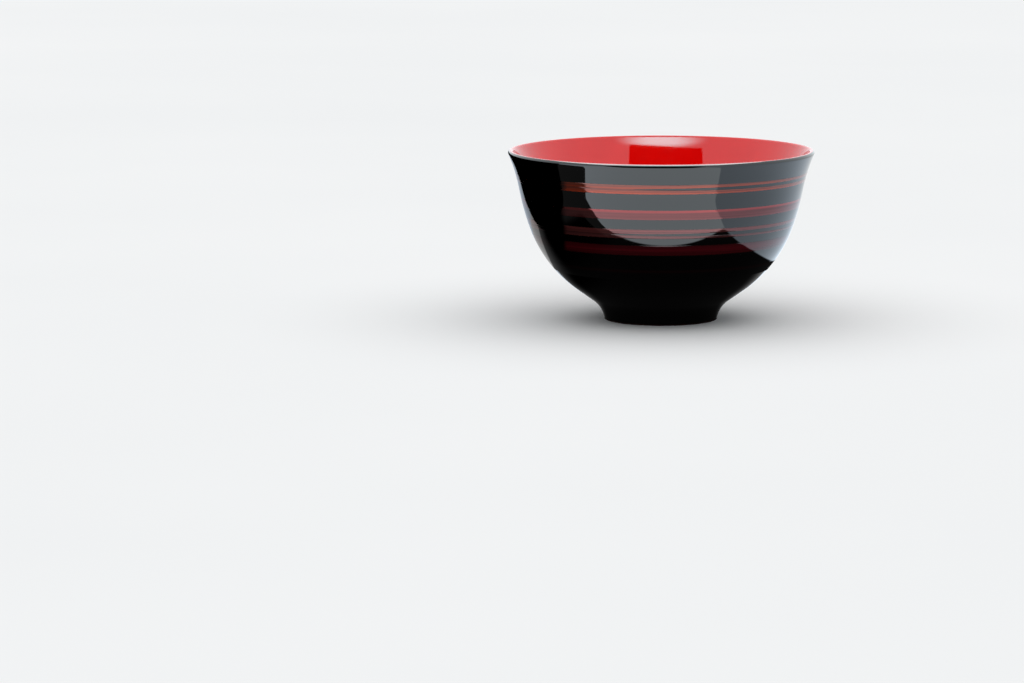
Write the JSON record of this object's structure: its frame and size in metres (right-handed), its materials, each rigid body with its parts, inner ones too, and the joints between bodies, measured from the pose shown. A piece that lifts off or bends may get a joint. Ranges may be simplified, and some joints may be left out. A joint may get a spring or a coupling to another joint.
{
  "type": "rice bowl",
  "caption": "Round footed rice bowl in glossy lacquer, black outside and vermilion inside, with thin brushed red bands around the wall; it holds a serving of rice or soup.",
  "frame": {"origin": "centre of the foot, on the surface that the bowl rests on", "axes": "+Z is the turning axis and points up out of the bowl; X and Y are any two directions across it, and the front of the bowl is towards -Y"},
  "size_m": [0.1178, 0.1178, 0.0655],
  "materials": {
    "wood": "turned close-grained hardwood, sealed under the coats",
    "ground_coat": "matt ground coat of lacquer and fine clay",
    "black_lacquer": "polished black lacquer, mirror gloss",
    "red_lacquer": "polished vermilion lacquer, mirror gloss",
    "foot_edge_lacquer": "thin wiped lacquer on the bearing edge, red-brown where it is thinnest",
    "orange_brush_lacquer": "brushed orange-red lacquer with fine bristle lines",
    "crimson_brush_lacquer": "brushed crimson lacquer with fine bristle lines",
    "dark_red_brush_lacquer": "brushed dark red lacquer, thin enough for the black to show through"
  },
  "bodies": {
    "root": {"wood_core": "wood", "outer_ground_coat": "ground_coat", "inner_ground_coat": "ground_coat", "outer_black_coat": "black_lacquer", "inner_red_coat": "red_lacquer", "foot_recess_coat": "black_lacquer", "foot_edge_coat": "foot_edge_lacquer", "band_1_upper_strand": "orange_brush_lacquer", "band_1_lower_strand": "orange_brush_lacquer", "band_2": "crimson_brush_lacquer", "band_3_upper_strand": "crimson_brush_lacquer", "band_3_lower_strand": "crimson_brush_lacquer", "band_4": "dark_red_brush_lacquer", "band_5": "dark_red_brush_lacquer"}
  },
  "joints": []
}
